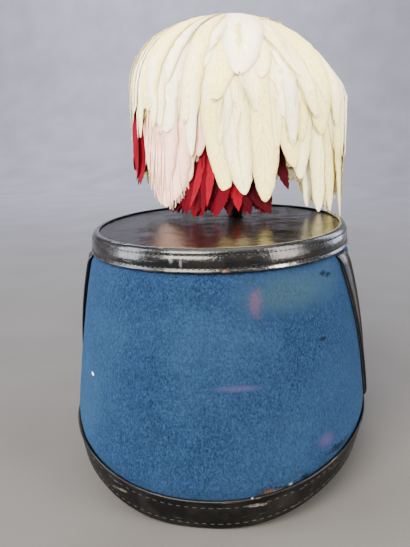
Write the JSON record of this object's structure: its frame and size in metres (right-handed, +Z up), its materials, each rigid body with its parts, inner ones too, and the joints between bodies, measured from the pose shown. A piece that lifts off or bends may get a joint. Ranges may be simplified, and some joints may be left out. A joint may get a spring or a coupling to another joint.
{
  "type": "shako hat",
  "caption": "Stiff cloth-covered parade shako with leather bands, side chevrons, a front peak and a drooping plume of white feathers over red ones.",
  "frame": {"origin": "On the floor the hat rests on, under the middle of its outer box", "axes": "+Z up, +Y towards the hat's front, +X towards the wearer's right"},
  "size_m": [0.1808, 0.2538, 0.2736],
  "materials": {
    "blue_wool_cloth": "matte felted wool",
    "black_patent_leather": "glossy, worn",
    "black_leather": "satin, worn",
    "red_feathers": "matte feather",
    "white_feathers": "soft, slightly silky feather"
  },
  "bodies": {
    "root": {"body_wall": "blue_wool_cloth", "base_band": "black_leather", "top_band": "black_patent_leather", "crown_top": "black_patent_leather", "chevron_right": "black_leather", "chevron_left": "black_leather", "peak": "black_leather", "plume_socket": "black_leather", "plume_red": "red_feathers", "plume_white": "white_feathers"}
  },
  "joints": []
}
